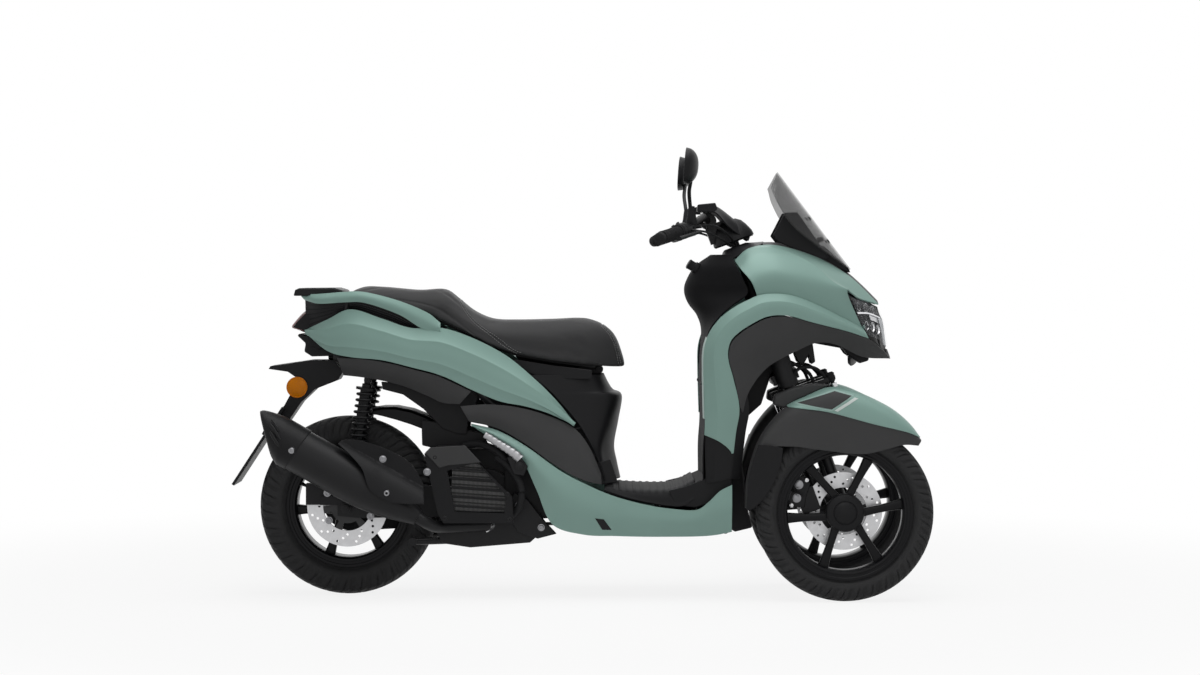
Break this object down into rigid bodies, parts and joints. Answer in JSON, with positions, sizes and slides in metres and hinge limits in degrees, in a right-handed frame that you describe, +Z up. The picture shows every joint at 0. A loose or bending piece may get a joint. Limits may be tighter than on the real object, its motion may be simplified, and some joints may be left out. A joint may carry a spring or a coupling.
{
  "type": "three-wheel motor scooter",
  "caption": "Three-wheel motor scooter with a pair of steered front wheels, step-through floor, smoked windscreen, stepped seat over a storage box and stands that fold.",
  "frame": {"origin": "on the ground in the middle of the length and width", "axes": "+X forward, +Y to the rider's left, +Z up"},
  "size_m": [1.99, 0.75, 1.27],
  "materials": {
    "mint_paint": "matte mint paint on plastic",
    "grey_plastic": "satin dark grey",
    "black_plastic": "fine grained black",
    "black_rubber": "ribbed rubber",
    "black_steel": "satin black",
    "black_alloy": "satin black",
    "tyre": "matte",
    "disc_steel": "ground steel",
    "cast_alloy": "cast",
    "bright_steel": "bright",
    "exhaust_steel": "heat-proof black",
    "smoked_screen": "smoked",
    "clear_lens": "clear",
    "red_lens": "red",
    "amber_lens": "prismatic",
    "seat_vinyl": "grained vinyl"
  },
  "bodies": {
    "chassis": {"frame": "black_steel", "panel_stays": "black_steel", "front_cowl": "mint_paint", "nose_trim": "grey_plastic", "leg_shield": "mint_paint", "arch_panel": "grey_plastic", "inner_panel": "black_plastic", "windscreen": "smoked_screen", "headlamps": "clear_lens", "floor_panels": "mint_paint", "footboard": "black_rubber", "belly_pan": "black_plastic", "centre_cover": "black_plastic", "lower_covers": "grey_plastic", "side_covers": "mint_paint", "tail_trims": "grey_plastic", "grab_rail": "mint_paint", "rear_carrier": "black_plastic", "storage_box": "black_plastic", "tail_lamp": "red_lens", "rear_fender": "black_plastic", "reflectors": "amber_lens", "beak": "grey_plastic", "engine": "cast_alloy", "belt_case": "cast_alloy", "swing_arm": "cast_alloy", "rear_dampers": "bright_steel", "hugger": "black_plastic", "exhaust": "exhaust_steel", "exhaust_guard": "black_plastic", "radiator": "cast_alloy", "radiator_cover": "grey_plastic", "footrests": "bright_steel", "lean_linkage": "cast_alloy"},
    "steering": {"handlebar": "black_steel", "bar_cover": "black_plastic", "grips": "black_rubber", "mirrors": "black_plastic"},
    "tie_rod": {"tie_rod": "bright_steel"},
    "fork_right": {"fork_right": "black_steel", "fender_right": "mint_paint"},
    "fork_left": {"fork_left": "black_steel", "fender_left": "mint_paint"},
    "wheel_front_right": {"rim_front_right": "black_alloy", "tyre_front_right": "tyre", "disc_front_right": "disc_steel"},
    "wheel_front_left": {"rim_front_left": "black_alloy", "tyre_front_left": "tyre", "disc_front_left": "disc_steel"},
    "wheel_rear": {"rim_rear": "black_alloy", "tyre_rear": "tyre", "disc_rear": "disc_steel"},
    "seat": {"seat": "seat_vinyl", "seat_pan": "black_plastic"},
    "centre_stand": {"centre_stand": "black_steel"},
    "side_stand": {"side_stand": "black_steel"}
  },
  "joints": [
    {"name": "steer", "type": "hinge", "parent": "chassis", "child": "steering", "pos_m": [0.813, 0, 0], "axis": [-0.342, 0, 0.9397], "range_deg": [-35, 35]},
    {"name": "fork_right_steer", "type": "hinge", "parent": "chassis", "child": "fork_right", "pos_m": [0.813, -0.118, 0], "axis": [-0.342, 0, 0.9397], "range_deg": [-35, 35]},
    {"name": "fork_left_steer", "type": "hinge", "parent": "chassis", "child": "fork_left", "pos_m": [0.813, 0.118, 0], "axis": [-0.342, 0, 0.9397], "range_deg": [-35, 35]},
    {"name": "tie_rod_turn", "type": "hinge", "parent": "steering", "child": "tie_rod", "pos_m": [0.92576, 0, 0.04104], "axis": [-0.342, 0, 0.9397], "range_deg": [-35, 35]},
    {"name": "wheel_front_right_spin", "type": "hinge", "parent": "fork_right", "child": "wheel_front_right", "pos_m": [0.745, -0.1925, 0.25], "axis": [0, 1, 0], "continuous": true},
    {"name": "wheel_front_left_spin", "type": "hinge", "parent": "fork_left", "child": "wheel_front_left", "pos_m": [0.745, 0.1925, 0.25], "axis": [0, 1, 0], "continuous": true},
    {"name": "wheel_rear_spin", "type": "hinge", "parent": "chassis", "child": "wheel_rear", "pos_m": [-0.665, 0, 0.256], "axis": [0, 1, 0], "continuous": true},
    {"name": "seat_open", "type": "hinge", "parent": "chassis", "child": "seat", "pos_m": [0.056, 0, 0.646], "axis": [0, 1, 0], "range_deg": [0, 60]},
    {"name": "centre_stand_swing", "type": "hinge", "parent": "chassis", "child": "centre_stand", "pos_m": [-0.29, 0, 0.164], "axis": [0, -1, 0], "range_deg": [0, 100], "stiffness_Nm_per_rad": 6, "springref_deg": -34.38},
    {"name": "side_stand_swing", "type": "hinge", "parent": "chassis", "child": "side_stand", "pos_m": [-0.04, 0.15, 0.185], "axis": [0, -0.9164, -0.4003], "range_deg": [0, 95], "stiffness_Nm_per_rad": 1.5, "springref_deg": -34.38}
  ],
  "couplings": [
    {"joint": "fork_right_steer", "follows": "steer", "ratio": 1},
    {"joint": "fork_left_steer", "follows": "steer", "ratio": 1},
    {"joint": "tie_rod_turn", "follows": "steer", "ratio": -1}
  ]
}
